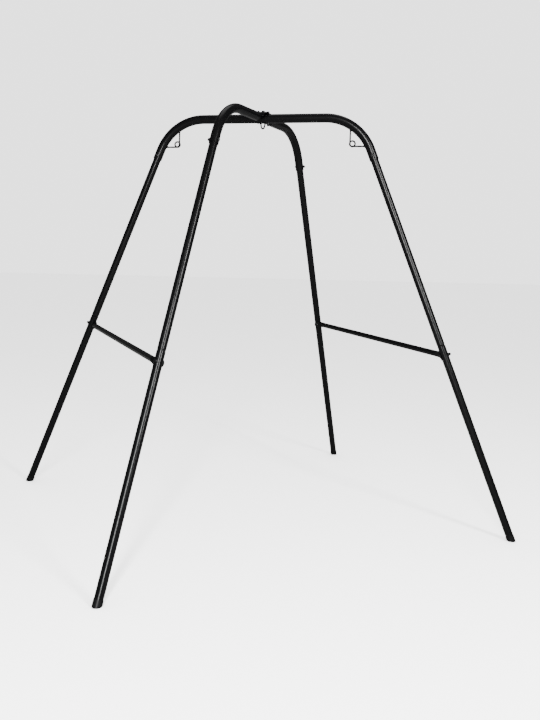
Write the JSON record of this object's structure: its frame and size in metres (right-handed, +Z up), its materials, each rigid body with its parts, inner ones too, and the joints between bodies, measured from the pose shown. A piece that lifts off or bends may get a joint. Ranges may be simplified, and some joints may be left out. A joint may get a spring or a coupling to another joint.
{
  "type": "hammock chair stand",
  "caption": "Black tubular steel stand for a hanging hammock chair: two crossed arches on splayed legs with side braces and a hanging eye.",
  "frame": {"origin": "on the ground, straight below the crossing of the two arches and the hanging eye", "axes": "+Z up; X along the wide side of the foot rectangle, from the left legs to the right legs; Y along its narrow side, from the front legs to the rear legs"},
  "size_m": [2.0618, 1.7736, 2.0489],
  "materials": {
    "black_tube": "satin black powder coat",
    "black_rod": "satin black powder coat",
    "black_fastener": "black zinc",
    "black_washer": "black zinc",
    "foot_plastic": "moulded black plastic"
  },
  "bodies": {
    "root": {"brace_bolts": "black_fastener", "brace_nuts": "black_fastener", "brace_washers": "black_washer", "crossing_bolt_left": "black_fastener", "crossing_bolt_right": "black_fastener", "crossing_nuts": "black_fastener", "crossing_washers": "black_washer", "foot_cap_left_front": "foot_plastic", "foot_cap_left_rear": "foot_plastic", "foot_cap_right_front": "foot_plastic", "foot_cap_right_rear": "foot_plastic", "hanging_eye": "black_rod", "hanging_eye_nut": "black_fastener", "hanging_eye_washer": "black_washer", "leg_joint_bolts": "black_fastener", "leg_joint_nuts": "black_fastener", "leg_joint_washers": "black_washer", "long_arch_tube": "black_tube", "lower_leg_left_front": "black_tube", "lower_leg_left_rear": "black_tube", "lower_leg_right_front": "black_tube", "lower_leg_right_rear": "black_tube", "short_arch_tube": "black_tube", "side_brace_left": "black_tube", "side_brace_right": "black_tube", "upper_leg_left_front": "black_tube", "upper_leg_left_rear": "black_tube", "upper_leg_right_front": "black_tube", "upper_leg_right_rear": "black_tube", "wire_eye_left": "black_rod", "wire_eye_right": "black_rod"}
  },
  "joints": []
}
